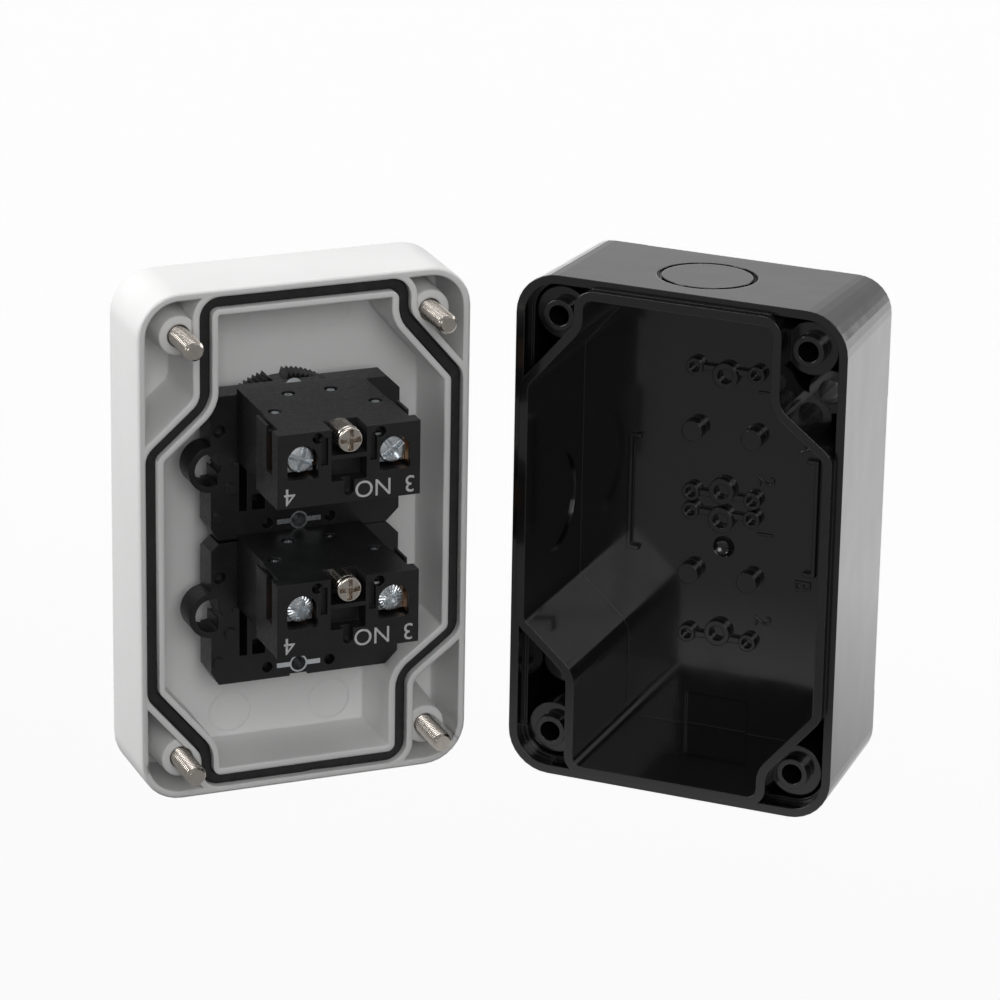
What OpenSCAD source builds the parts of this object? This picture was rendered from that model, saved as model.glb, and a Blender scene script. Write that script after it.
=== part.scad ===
// Two-button control station, opened: the cover stands on the left and the base on the right.
// Both halves are drawn with their rim in the plane y = 0 and their body behind it, at y > 0.
// So in each half's own frame x runs across, z runs up and y is the depth below the rim.

/* [Box] */
// Width of both halves at the rim
box_w = 69; // [66:0.5:76]
// Height of both halves at the rim
box_h = 106; // [104:0.5:116]
// Radius of the four outer corners
box_corner = 8.6; // [7:0.1:10]
// Depth of the cover from rim to front face
cover_depth = 19; // [18:0.1:22]
// Thickness of the cover's front wall
cover_wall = 3.3; // [3:0.1:4]
// Rim thickness of the cover beside its corner pockets
cover_rim = 1.5; // [1.3:0.1:1.9]
// Rounding of the cover's outer edges
cover_edge = 1.2; // [0.6:0.1:1.8]
// Diameter of the ejector marks on the cover's floor
mark_d = 8.6; // [7:0.1:10]
// Depth of those marks
mark_t = 0.16; // [0.1:0.02:0.3]
// Ejector marks, from the middle across
mark_x = 10.7; // [9:0.1:13]
// Ejector marks, in from the box's ends
mark_in_z = 10.6; // [10:0.1:12]
// Depth of the base from rim to back pads
base_depth = 31.5; // [31:0.1:34]
// Thickness of the base's back wall between its pads
base_wall = 2.5; // [2:0.1:3]
// Height of the four pads on the base's back
pad_rise = 1; // [0.6:0.1:1.5]
// Clear width between the pads
pad_gap_w = 38; // [34:0.5:42]
// Height of the floor-end pads, from the bottom end
pad_low = 17; // [14:0.5:20]
// Height of the top-end pads, from the top end
pad_high = 26; // [22:0.5:28]
// Rim thickness of the base beside its corner wells
base_rim = 1.8; // [1.5:0.1:2]
// How much each side of the base draws in towards its back
base_taper = 1.5; // [0.5:0.1:1.8]
// Rounding of the base's back edge
base_edge = 0.8; // [0.4:0.1:1]

/* [Seal] */
// How far the gasket's outer outline lies in from the box's sides and ends
seal_inset = 1.4; // [1.35:0.05:1.6]
// Width of the gasket and of its groove
gasket_w = 2.6; // [2.4:0.1:3]
// Thickness of the gasket
gasket_t = 3; // [2:0.1:4]
// How far the gasket lies below the cover's rim
gasket_sink = 1.2; // [0.6:0.1:1.6]
// Side gap between the gasket and its groove
gasket_gap = 0.05; // [0.03:0.01:0.08]
// Wall outside the gasket groove, at the corner pockets
groove_wall = 1.3; // [1.1:0.1:1.5]
// Wall inside the gasket groove
cover_inner_wall = 1.3; // [1.1:0.05:1.4]
// Gap between the groove's outer side and the base's tongue
tongue_gap = 0.35; // [0.2:0.05:0.5]
// Thickness of the base's tongue and well walls
tongue_t = 1.85; // [1.5:0.05:2]
// How far the tongue stands above the base's rim
tongue_rise = 2; // [1.5:0.1:2.4]
// How far each corner notch comes in from the side of the seal
notch_in = 11.2; // [10.6:0.1:11.6]
// Long notch, from the seal's end to where it leaves the inner side
long_notch_near = 21.2; // [19:0.1:22]
// Long notch, from the seal's end to where it meets the outer side
long_notch_far = 31; // [29:0.1:33]
// Flatter long notch, from the seal's end to where it leaves the inner side
flat_notch_near = 18.2; // [17.6:0.1:18.8]
// Flatter long notch, from the seal's end to where it meets the outer side
flat_notch_far = 26.8; // [26:0.1:27.4]
// Short notch, from the seal's end to where it leaves the inner side
short_notch_near = 7.5; // [6:0.1:9]
// Short notch, from the seal's end to where it meets the outer side
short_notch_far = 20.8; // [19:0.1:22]
// Bend radius of the seal's corners
seal_bend = 4.2; // [3:0.1:4.5]

/* [Cover screws] */
// Cover screws, in from the box's sides
screw_in_x = 8.5; // [8.3:0.1:8.8]
// Cover screws, in from the box's ends
screw_in_z = 8.7; // [8.5:0.1:9]
// Thread diameter
screw_d = 4; // [3.5:0.1:4.2]
// Head diameter
screw_head_d = 7.2; // [6.5:0.1:7.6]
// Head height
screw_head_h = 2.2; // [1.8:0.1:2.4]
// Width of the cross slots in the head
screw_slot_w = 0.9; // [0.7:0.1:1.2]
// Length of the cross slots in the head
screw_slot_l = 4.6; // [4:0.1:5.5]
// Depth of the cross slots in the head
screw_slot_t = 1.2; // [1:0.1:1.5]
// How far the screws stand out past the rim
screw_reach = 10; // [8:0.5:11]
// Chamfer on the screw tips
screw_chamfer = 0.5; // [0.3:0.1:0.7]
// Radial gap between a screw and the cover
screw_gap = 0.3; // [0.25:0.05:0.4]
// Depth of the head's recess in the front face
screw_sink = 2.6; // [2.4:0.1:2.8]
// Diameter of the cover's bosses at their tips
cover_boss_d = 8; // [7.6:0.1:8.6]
// Diameter of the cover's bosses at their roots
cover_boss_root_d = 9.6; // [9:0.1:10]
// How far the bosses' tips lie below the cover's rim
cover_boss_sink = 0.6; // [0.3:0.1:1]
// Width of the opening in the C-shaped boss
prong_gap = 4.8; // [4:0.1:5.2]
// Depth of the opening in the C-shaped boss
prong_l = 5; // [3:0.5:7]

/* [Base bosses] */
// Diameter of the base's screw bosses at the top
base_boss_d = 6.4; // [6:0.1:7]
// How far their tops lie below the rim
base_boss_sink = 1.3; // [1:0.1:2]
// Diameter of the lower step of the bosses
base_step_d = 10.8; // [10:0.1:11]
// How far the step lies below the rim
base_step_sink = 3.6; // [3:0.1:5]
// Depth below the rim of the holes that take the cover screws
base_hole_l = 15; // [13:0.5:18]
// Radial gap of every thread
thread_gap = 0.1; // [0.05:0.01:0.1]
// Wall fixing holes, in from the box's sides
fixing_in_x = 7.2; // [7:0.1:7.5]
// Wall fixing holes, in from the box's ends
fixing_in_z = 20; // [19.5:0.1:20.2]
// Diameter of the wall fixing holes
fixing_hole_d = 4.8; // [4.2:0.1:5]
// Diameter of the posts round the wall fixing holes
fixing_post_d = 9; // [8:0.1:9.4]
// How far those posts lie below the rim
fixing_post_sink = 12; // [10:0.5:20]

/* [Base details] */
// Knockout diameter
knockout_d = 20; // [18:0.5:20.5]
// Width of the groove round a knockout
knockout_groove = 1; // [0.8:0.1:1.2]
// Web left at the bottom of the groove
knockout_web = 0.6; // [0.4:0.1:0.8]
// Depth of the knockout's centre below the rim
knockout_y = 14.5; // [13:0.1:15]
// Depth of the round recess inside a knockout
knockout_recess = 0.5; // [0.3:0.1:0.6]
// Diameter of the centre bosses on the back wall
hub_d = 5.4; // [5:0.1:6]
// Hole in the centre bosses
hub_hole_d = 3.2; // [3:0.1:3.4]
// Distance of the centre bosses from a button's axis
hub_z = 12.3; // [12:0.1:12.4]
// Diameter of the small side bosses
stud_d = 3.6; // [3.2:0.1:4]
// Hole in the small side bosses
stud_hole_d = 2.2; // [2:0.1:2.4]
// Side bosses, distance from the middle
stud_x = 6.6; // [6.4:0.1:7]
// Side bosses, distance from a button's axis
stud_z = 13.4; // [13:0.1:13.5]
// Height of all those bosses
hub_rise = 1.5; // [1:0.1:1.5]
// Width of the webs between them
web_w = 1.2; // [0.8:0.1:1.6]
// Diameter of the locating pegs
peg_d = 4.4; // [4:0.1:5]
// Height of the locating pegs
peg_rise = 2.4; // [2:0.1:2.5]
// Pegs, distance from the middle
peg_x = 6.35; // [6:0.05:7]
// Radius of the round dimple
dimple_r = 2.8; // [2:0.1:3]
// Depth of the round dimple
dimple_t = 1.2; // [0.8:0.1:1.5]
// Dimple's centre, from the middle to the right
dimple_x = 0.4; // [0:0.1:1]
// Height of the dimple's centre
dimple_z = 43.8; // [43:0.1:45]
// Guide ribs, distance from the middle
guide_x = 20; // [19:0.1:21]
// Length of the guide ribs
guide_l = 25; // [22:0.5:28]
// Width of the guide ribs
guide_w = 0.8; // [0.6:0.1:1.2]
// Height of the guide ribs
guide_rise = 1; // [0.6:0.1:1.4]
// Length of the turned-in ends of the guide ribs
guide_end = 2.2; // [1.5:0.1:3]
// Width of the flat recess low on the back wall
panel_w = 13.4; // [12:0.1:15]
// Height of that recess
panel_h = 7; // [6:0.5:8]
// Depth of that recess
panel_t = 0.6; // [0.4:0.1:0.8]
// Width of the curved ledge in the lower left well
ledge_w = 1.2; // [0.8:0.1:1.5]
// How far that ledge lies below the rim
ledge_sink = 2.5; // [1.5:0.5:5]

/* [Buttons] */
// Spacing of the two buttons
button_pitch = 30.8; // [30.8:0.1:32]
// Travel of a button
button_travel = 3.2; // [2.6:0.1:3.2]
// Diameter of the button cap
cap_d = 20; // [19:0.1:20]
// How far the cap stands out of its bezel
cap_proud = 0.6; // [0:0.1:1]
// Thickness of the cap
cap_t = 3.8; // [3.4:0.1:4.2]
// Depth of the cap's dished face
cap_dish = 0.5; // [0.2:0.1:0.7]
// Width of the cap's and bezel's edge chamfers
front_chamfer = 0.6; // [0.3:0.1:0.9]
// Diameter of the button's stem
stem_d = 13.2; // [12:0.1:13.4]
// Diameter of the button's foot
foot_d = 16.8; // [16:0.1:17.2]
// Thickness of the button's foot
foot_t = 2; // [1.5:0.1:2.5]
// Radial gap round the moving parts
slide_gap = 0.3; // [0.25:0.05:0.4]
// Diameter of the operator's barrel
barrel_d = 22; // [21.5:0.1:22]
// Hole in the cover for the barrel
panel_hole_d = 22.4; // [22.3:0.1:22.6]
// Depth of the barrel's back end below the cover's rim
barrel_back = 9; // [8.8:0.1:9.5]
// Depth of the shoulder that stops the button's foot
shoulder_y = 10; // [9.8:0.1:10.2]
// Thickness of that shoulder
shoulder_t = 2; // [1.6:0.1:2.2]
// Diameter of the bezel
bezel_d = 29.4; // [28:0.1:30]
// Thickness of the bezel
bezel_t = 3.2; // [2.5:0.1:4]
// Thickness of the panel seal
panel_seal_t = 0.7; // [0.5:0.1:1]
// Width of the panel seal
panel_seal_w = 2.6; // [2:0.1:3]
// Coil radius of the return spring, to the middle of its wire
return_coil_r = 8.25; // [8:0.05:8.5]
// Wire diameter of the return spring
return_wire_d = 0.6; // [0.5:0.05:0.65]
// Outer diameter of the lock ring
lock_d = 30.2; // [29.4:0.1:30.2]
// Thickness of the lock ring
lock_t = 4.5; // [4:0.1:4.6]
// Height of the lock ring's serrations
lock_tooth = 0.7; // [0.5:0.1:0.9]
// Depth of the gaps between its groups of serrations
lock_gap_t = 1.5; // [1:0.1:1.7]

/* [Collar] */
// Collar, from the button's axis to its left side
collar_left = 18.4; // [17.8:0.1:19]
// Collar, from the button's axis to its right side
collar_right = 21.1; // [20:0.1:21.5]
// Thickness of the skirt along the collar's left side
skirt_t = 1.5; // [1:0.1:1.8]
// Collar, from the button's axis up to its top edge
collar_up = 14.7; // [14:0.1:14.7]
// Collar, from the button's axis down to its bottom edge
collar_down = 15.9; // [15:0.1:15.9]
// How much lower the left stretch of the top edge is
collar_step = 0.45; // [0.3:0.05:0.6]
// Where that step is, from the middle
collar_step_x = 6; // [5:0.1:8]
// Depth of the collar's face below the cover's rim
collar_y = 4; // [3.8:0.1:4.2]
// Thickness of the collar's plate
collar_t = 5.8; // [5.2:0.1:6.2]
// Corner cut of the collar
collar_cut = 2.6; // [2:0.1:3.6]
// Opening in the middle of the collar
collar_hole_d = 19.2; // [18.6:0.1:20]
// Outer diameter of the hub behind the plate
collar_hub_d = 26.8; // [26:0.1:28]
// Diameter of the ear at the left
ear_d = 9.6; // [9:0.1:10.4]
// Middle of the ear, from the button's axis to the left
ear_x = 18.2; // [17.5:0.1:18.5]
// Middle of the ear, below the button's axis
ear_down = 0.8; // [0:0.1:1]
// Hole in the ear
ear_hole_d = 7; // [6:0.1:7.2]
// Diameter of the larger pins on the collar's left part
pip_d = 2.6; // [2:0.1:2.8]
// Height of the pins
pip_rise = 0.5; // [0.3:0.1:0.8]
// Diameter of the hole above the ear
pit_d = 2.6; // [2:0.1:2.8]
// Depth of that hole
pit_t = 2.4; // [1.5:0.1:3]
// Long slot, from the button's axis to its left side
long_slot_x = 12.5; // [12.2:0.1:12.6]
// Width of the long slot
long_slot_w = 1.6; // [1.2:0.1:1.8]
// Long slot, from the button's axis up to its upper end
long_slot_up = 8.5; // [7:0.1:9]
// Both slots, from the button's axis down to their lower ends
slot_down = 10.2; // [10:0.1:10.4]
// Short slot, from the button's axis to its left side
short_slot_x = 9.8; // [9.6:0.1:9.9]
// Width of the short slot
short_slot_w = 2.7; // [2.4:0.1:2.7]
// Height of the short slot
short_slot_h = 3.2; // [2.4:0.1:3.2]
// Nut strips, distance from the button's axis
nut_z = 13.4; // [13:0.1:13.5]
// Outer diameter of the threaded ring
nut_d = 3.7; // [3.5:0.1:3.7]
// Length of the threaded ring
nut_l = 3.4; // [2.5:0.1:3.6]
// Length of the strip
strip_l = 9.2; // [8:0.1:10]
// Height of the strip
strip_h = 1; // [0.8:0.1:1.2]
// Thickness of the strip
strip_t = 0.8; // [0.6:0.1:1]

/* [Contact block] */
// Width of the block's front body
block_w = 29.2; // [29:0.1:29.4]
// Width of the block's rear body
block_rear_w = 26; // [25.6:0.1:26.4]
// Height of the block
block_h = 15.1; // [14.8:0.1:15.2]
// Block, from the button's axis up to its lower face
block_low = 0.5; // [0.4:0.1:0.6]
// How far the block's front stands out past the cover's rim
block_reach = 25; // [24.6:0.1:25.2]
// Depth of the block's front body
block_front_l = 12.5; // [12:0.1:13]
// Wall between the contact chamber and the collar
block_back_wall = 1.6; // [1.4:0.1:1.8]
// Width of the channel for the fixing screw
channel_w = 7.2; // [6.8:0.1:7.4]
// Length of that channel
channel_l = 5.6; // [5:0.1:6]
// Height of that channel
channel_h = 5.3; // [5.1:0.1:5.5]
// Bridge between the channel and the dark pocket under it
pocket_gap = 0.85; // [0.6:0.05:1]
// Height of the wall below the pocket
pocket_low = 4.5; // [4:0.1:5]
// Depth of the pocket
pocket_l = 3.9; // [3:0.1:4.5]
// Width of the round-ended notch under the pocket
notch_w = 2.1; // [1.8:0.1:2.4]
// Width of the terminal windows
window_w = 6.3; // [6:0.1:6.4]
// Middle of the terminal windows, from the block's middle
window_x = 9.4; // [9.3:0.05:9.5]
// Terminal screws' axes, from the block's upper face
window_down = 5.8; // [5.6:0.1:5.9]
// Height of the wall below the windows
sill_h = 5.6; // [5.4:0.1:5.7]
// Thickness of the front wall at the windows
window_t = 1.1; // [0.9:0.1:1.2]
// Diameter of the small round holes above the windows
tool_hole_d = 2.2; // [2:0.1:2.3]
// Those holes, from the block's middle
tool_hole_x = 6.4; // [6.2:0.1:6.6]
// Those holes, from the block's upper face
tool_hole_down = 1.45; // [1.4:0.05:1.6]
// Depth of the small holes and slots
tool_hole_l = 3; // [2:0.1:3.5]
// Width of the narrow slots beside the channel
side_slot_w = 1.4; // [1.2:0.1:1.5]
// Depth of the narrow slots beside the channel
side_slot_t = 1.2; // [1:0.1:1.4]
// Narrow slots, from the block's lower face up to their lower ends
side_slot_low = 8; // [7.5:0.1:8.5]
// Slots in the upper face over the contact strips, width
top_slot_w = 0.8; // [0.6:0.1:0.9]
// Length of those slots
top_slot_l = 7; // [6:0.1:7.5]
// Wall in front of the grooves in the block's sides
side_groove_y = 3.2; // [3:0.1:3.3]
// Width of the groove in the block's sides
side_groove_l = 3.4; // [3:0.1:3.5]
// Depth of the groove in the block's sides
side_groove_t = 1.3; // [1.2:0.1:1.4]
// Fixing screw, head diameter
fix_head_d = 5; // [4.8:0.1:5.2]
// Fixing screw, how far its head stands out of the block
fix_proud = 1; // [0.6:0.1:1.1]
// Fixing screw, shank diameter
fix_d = 2.8; // [2.6:0.1:2.9]
// Terminal screws, head diameter
term_head_d = 5.7; // [5.4:0.1:5.8]
// Terminal screws, head height
term_head_h = 2; // [1.8:0.1:2.2]
// Terminal screws, shank diameter
term_d = 3; // [2.8:0.1:3.1]
// Terminal screws, length of the shank
term_l = 6.6; // [6:0.1:7]
// Width of the clamp plates
clamp_w = 6; // [5.6:0.1:6]
// Thickness of the clamp plates and contact strips
plate_t = 0.8; // [0.6:0.1:0.9]
// Room for a wire under a clamp plate
wire_gap = 1.9; // [1.6:0.1:2]
// Rivet diameter
rivet_d = 1.6; // [1.4:0.1:1.8]
// Rivet length
rivet_l = 3; // [2:0.1:4]
// Diameter of the small recess round a rivet
rivet_pit_d = 2.8; // [2.4:0.1:3]
// Depth of that recess
rivet_pit_t = 0.7; // [0.5:0.1:0.9]

/* [Contacts] */
// Diameter of the plunger
plunger_d = 3.8; // [3.6:0.1:4]
// Plunger, from the button's axis
plunger_z = 6; // [5.8:0.1:6.2]
// Diameter of the plunger's inner pin
pin_d = 2; // [1.8:0.1:2.2]
// Length of the plunger's inner pin
pin_l = 4.6; // [4:0.1:4.8]
// Depth of the bridge past the cover's rim
bridge_y = 1.6; // [1.4:0.1:1.8]
// Length of the moving bridge
bridge_l = 16.4; // [16:0.1:17]
// Width of the moving bridge and fixed contacts
bridge_w = 3.2; // [3:0.1:3.4]
// Diameter of the contact studs
contact_d = 2.4; // [2:0.1:2.6]
// Thickness of the contact studs
contact_t = 0.55; // [0.5:0.05:0.6]
// Contact studs, from the block's middle
contact_x = 6.8; // [6.6:0.1:7]
// Coil radius of the contact spring, to the middle of its wire
contact_coil_r = 1.9; // [1.8:0.05:2]
// Room between the plunger's pin and the chamber's end when pressed
pin_room = 0.8; // [0.5:0.1:1]
// Wire diameter of the contact spring
contact_wire_d = 0.44; // [0.4:0.02:0.46]

/* [Placing] */
// How far the cover is turned away from the base
cover_turn = 44.3; // [40:0.1:60]
// Cover, middle of its rim to the left of the base's
cover_left = 68.7; // [66:0.1:90]
// Cover, middle of its rim in front of the base's
cover_ahead = 24.6; // [20:0.1:30]
// Shift of the base's middle, across
base_x = 35.9; // [30:0.1:50]
// Shift of the base's rim, front to back
base_y = 10.6; // [0:0.1:15]

/* [Hidden] */
$fn = 48;
// Extra length of every cut
over = 0.5;
// Small lap where two shapes meet
lap = 0.05;
// The two buttons and the two sides
upper = 1;
lower = -1;
left = -1;
right = 1;
sides = [left, right];
// Segments of the blended outlines
blend_fn = 32;
// Depths that follow from the ones above
seal_w = box_w - 2 * seal_inset;
seal_h = box_h - 2 * seal_inset;
screw_pitch_x = box_w - 2 * screw_in_x;
screw_pitch_z = box_h - 2 * screw_in_z;
fixing_pitch_x = box_w - 2 * fixing_in_x;
fixing_pitch_z = box_h - 2 * fixing_in_z;
mark_z = box_h / 2 - mark_in_z;
cover_floor = cover_depth - cover_wall;
base_back = base_depth - pad_rise;
base_floor = base_back - base_wall;
groove_depth = gasket_sink + gasket_t;
bezel_back = cover_depth + panel_seal_t;
bezel_front = bezel_back + bezel_t;
cap_front = bezel_front + cap_proud;
cap_back = cap_front - cap_t;
bore_d = cap_d + 2 * slide_gap;
stem_bore_d = stem_d + 2 * slide_gap;
foot_back = shoulder_y - foot_t;
shoulder_top = shoulder_y + shoulder_t;
lock_back = cover_floor - lock_t;
collar_back = collar_y + collar_t;
block_front = -block_reach;
block_mid = block_front + block_front_l;
block_high = block_low + block_h;
window_z = block_high - window_down;
sill_z = block_low + sill_h;
chamber_back = collar_y - block_back_wall;
chamber_front = -bridge_y - pin_l - button_travel - pin_room;
screw_seat = cover_depth - screw_sink;
term_head_y = block_front + window_t;
clamp_y = term_head_y + term_head_h;
leg_y = clamp_y + plate_t + wire_gap;
strip_x = block_w / 2 - side_groove_t;
riser_x = block_rear_w / 2 - 2 * plate_t - slide_gap;
rest_y = -bridge_y - plate_t;
fixed_y = rest_y - 2 * contact_t - button_travel - slide_gap;
riser_low = plunger_z - bridge_w / 2;
strip_low = sill_z + 2 * slide_gap;
nut_bore_d = fix_d + 2 * thread_gap;
neighbour_z = button_pitch - nut_z - nut_d / 2 - thread_gap;
base_hole_d = screw_d + 2 * thread_gap;
// Cap's dish and the screws' heads, as shares of their diameters and heights
dish_share = 0.4;
head_face_share = 0.4;
head_side_share = 0.6;
fix_face_share = 0.42;
fix_edge_share = 0.08;
fix_slot_shares = [0.17, 0.78, 0.3];
pan_face_share = 0.38;
pan_side_share = 0.4;
pan_slot_shares = [0.14, 0.75, 0.6];
// Lock ring's teeth and the springs' turns
tooth_share = 0.5;
lock_teeth = 91;
teeth_per_group = 13;
teeth_left_out = 3;
return_turns = 4;
contact_turns = 7;
wire_sides = 6;
turn_steps = 14;
// Collar's corner cuts and the flat side of the ear's hole
low_cut_share = 0.6;
ear_flat_share = 0.35;
ear_bump_share = 0.5;
// Pins on the collar's left part: place as shares of its left and lower sizes, then size
pip_shares = [[-0.78, -0.33, 1], [-0.92, -0.7, 0.9], [-0.73, -0.01, 0.5]];
// Hole above the ear, as shares of the same
pit_share = [-0.9, 0.44];
// Rivets in the block's upper face, as shares of its half width and its reach
rivet_shares = [[-0.71, 0.45], [0.71, 0.45], [-0.3, 0.08], [0.3, 0.08]];
// Colours as the photo shows them
white = [0.88, 0.88, 0.87];
black = [0.09, 0.09, 0.1];
rubber = [0.04, 0.04, 0.04];
nickel = [0.72, 0.69, 0.65];
zinc = [0.75, 0.78, 0.8];
copper = [0.72, 0.45, 0.25];
green = [0.05, 0.5, 0.2];
dark = [0.14, 0.14, 0.15];

// A prism from depth y0 to y1, from an outline centred on the box's face
module prism(y0, y1) {
    translate([0, y1, box_h / 2])
        rotate([90, 0, 0])
            linear_extrude(y1 - y0) children();
}

// The same, for outlines centred on a button's axis
module plate(y0, y1) {
    translate([0, y1, 0])
        rotate([90, 0, 0])
            linear_extrude(y1 - y0) children();
}

// A round bar along y
module bar(x, z, y0, y1, d) {
    translate([x, y0, z])
        rotate([-90, 0, 0]) cylinder(d = d, h = y1 - y0);
}

// A box centred on x, from y0 to y1 and from z0 to z1
module slab(x, w, y0, y1, z0, z1) {
    translate([x - w / 2, y0, z0]) cube([w, y1 - y0, z1 - z0]);
}

// A turned ring or disc round the y axis, from [radius, depth] points
module turned(points) {
    rotate([-90, 0, 0])
        rotate_extrude() polygon(points);
}

// A coil spring round the y axis: one wire swept along a helix
module coil(y0, y1, coil_r, wire_d, turns) {
    count = turns * turn_steps;
    wire_r = wire_d / 2;
    climb = y1 - y0 - wire_d;
    ring = [0:wire_sides - 1];
    points = [for (i = [0:count]) for (k = ring)
        let (turn = 360 * i / turn_steps, a = 360 * k / wire_sides, r = coil_r + wire_r * cos(a))
        [r * cos(turn), y0 + wire_r + climb * i / count + wire_r * sin(a), r * sin(turn)]];
    skin = [for (i = [0:count - 1]) for (k = ring)
        let (a = i * wire_sides + k, b = i * wire_sides + (k + 1) % wire_sides)
        [a, b, b + wire_sides, a + wire_sides]];
    first = [for (k = ring) wire_sides - 1 - k];
    last = [for (k = ring) count * wire_sides + k];
    polyhedron(points, concat(skin, [first, last]), convexity = 10);
}

// Rounded rectangle with true arcs
module rounded(w, h, r) {
    square([w - 2 * r, h], center = true);
    square([w, h - 2 * r], center = true);
    for (sx = sides, sy = sides)
        translate([sx * (w / 2 - r), sy * (h / 2 - r)]) circle(r = r);
}

// The box's outline, drawn in by an inset
module box_outline(inset) {
    rounded(box_w - 2 * inset, box_h - 2 * inset, box_corner - inset);
}

// The seal's outline, as seen into the cover: long notches at the top left and, flatter, bottom right
module seal_outline(inset) {
    hw = seal_w / 2;
    hh = seal_h / 2;
    inner = hw - notch_in;
    right_side = [[-inner, hh], [inner, hh], [inner, hh - short_notch_near], [hw, hh - short_notch_far],
        [hw, flat_notch_far - hh], [inner, flat_notch_near - hh]];
    left_side = [[inner, -hh], [-inner, -hh], [-inner, short_notch_near - hh], [-hw, short_notch_far - hh],
        [-hw, hh - long_notch_far], [-inner, hh - long_notch_near]];
    offset(delta = -inset, $fn = blend_fn)
        offset(r = -seal_bend, $fn = blend_fn) offset(delta = seal_bend)
            offset(r = seal_bend, $fn = blend_fn) offset(delta = -seal_bend)
                polygon(concat(right_side, left_side));
}

// The same outline as seen into the base, which stands the other way up: top and bottom change places
module base_seal_outline(inset) {
    mirror([0, 1]) seal_outline(inset);
}

// Children at each corner screw
module at_screws() {
    for (sx = sides, sz = sides)
        translate([sx * screw_pitch_x / 2, 0, box_h / 2 + sz * screw_pitch_z / 2]) children();
}

// Children at the wall fixing holes, in the long notches of the base
module at_fixings() {
    for (s = sides)
        translate([s * fixing_pitch_x / 2, 0, box_h / 2 + s * fixing_pitch_z / 2]) children();
}

// Children at one button's axis
module at_button(which) {
    translate([0, 0, box_h / 2 + which * button_pitch / 2]) children();
}

// Children in the place of the base
module base_place() {
    translate([base_x, base_y, 0]) children();
}

// Children in the place of the cover
module cover_place() {
    translate([base_x - cover_left, base_y - cover_ahead, 0])
        rotate([0, 0, cover_turn]) children();
}

// Children in the place of one button's parts
module unit_place(which) {
    cover_place() at_button(which) children();
}

// Outer body of the cover, with its edges rounded front and back
module cover_body() {
    soft = cover_edge / 3;
    hull() {
        prism(0, soft) box_outline(soft, $fn = blend_fn);
        prism(soft, cover_depth - cover_edge) box_outline(0, $fn = blend_fn);
        prism(cover_depth - cover_edge, cover_depth - soft) box_outline(soft / 2, $fn = blend_fn);
        prism(cover_depth - soft, cover_depth) box_outline(cover_edge - soft, $fn = blend_fn);
    }
}

// Cover: walls, gasket groove, corner pockets, bosses and the holes for the two operators
module cover_shell() {
    color(white) difference() {
        union() {
            difference() {
                cover_body();
                prism(-over, cover_floor) seal_outline(gasket_w + cover_inner_wall);
                prism(-over, cover_floor) difference() {
                    box_outline(cover_rim);
                    seal_outline(-groove_wall);
                }
            }
            at_screws() turned([[0, cover_boss_sink], [cover_boss_d / 2, cover_boss_sink],
                [cover_boss_root_d / 2, cover_floor + over], [0, cover_floor + over]]);
        }
        prism(-over, groove_depth) difference() {
            seal_outline(0);
            seal_outline(gasket_w);
        }
        at_screws() bar(0, 0, -over, cover_depth + over, screw_d + 2 * screw_gap);
        at_screws() bar(0, 0, screw_seat, cover_depth + over, screw_head_d + 2 * screw_gap);
        boss_opening();
        for (which = [lower, upper])
            at_button(which) bar(0, 0, cover_floor - over, cover_depth + over, panel_hole_d);
        ejector_marks();
    }
}

// The cut that makes the lower right boss an open C
module boss_opening() {
    translate([screw_pitch_x / 2, cover_boss_sink + prong_l, box_h / 2 - screw_pitch_z / 2])
        rotate([90, 45, 0])
            translate([0, -prong_gap / 2, 0])
                cube([cover_boss_d, prong_gap, prong_l + over]);
}

// Round marks that the mould's pins leave on the cover's floor
module ejector_marks() {
    for (sx = sides, sz = sides)
        bar(sx * mark_x, box_h / 2 + sz * mark_z, cover_floor - over, cover_floor + mark_t, mark_d);
}

// Gasket in its groove
module gasket() {
    color(rubber) prism(gasket_sink, groove_depth) difference() {
        seal_outline(gasket_gap);
        seal_outline(gasket_w - gasket_gap);
    }
}

// One cover screw, at the corner given by its two signs
module cover_screw(sx, sz) {
    color(nickel)
        translate([sx * screw_pitch_x / 2, 0, box_h / 2 + sz * screw_pitch_z / 2]) difference() {
            r = screw_d / 2;
            turned([[0, -screw_reach], [r - screw_chamfer, -screw_reach], [r, screw_chamfer - screw_reach],
                [r, screw_seat], [screw_head_d / 2, screw_seat],
                [screw_head_d / 2, screw_seat + screw_head_h * head_side_share],
                [screw_head_d * head_face_share, screw_seat + screw_head_h], [0, screw_seat + screw_head_h]]);
            cross_cut(screw_seat + screw_head_h - screw_slot_t, screw_seat + screw_head_h + over,
                screw_slot_w, screw_slot_l);
        }
}

// Cross-shaped cut for a screwdriver
module cross_cut(y0, y1, w, l) {
    slab(0, w, y0, y1, -l / 2, l / 2);
    slab(0, l, y0, y1, -w / 2, w / 2);
}

// Outer body of the base: it draws in towards the back, with a rounded back edge
module base_body() {
    side = base_depth - base_edge;
    hull() {
        prism(0, lap) box_outline(0, $fn = blend_fn);
        prism(side - lap, side) box_outline(base_taper, $fn = blend_fn);
        prism(base_depth - lap, base_depth) box_outline(base_taper + base_edge, $fn = blend_fn);
    }
}

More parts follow.
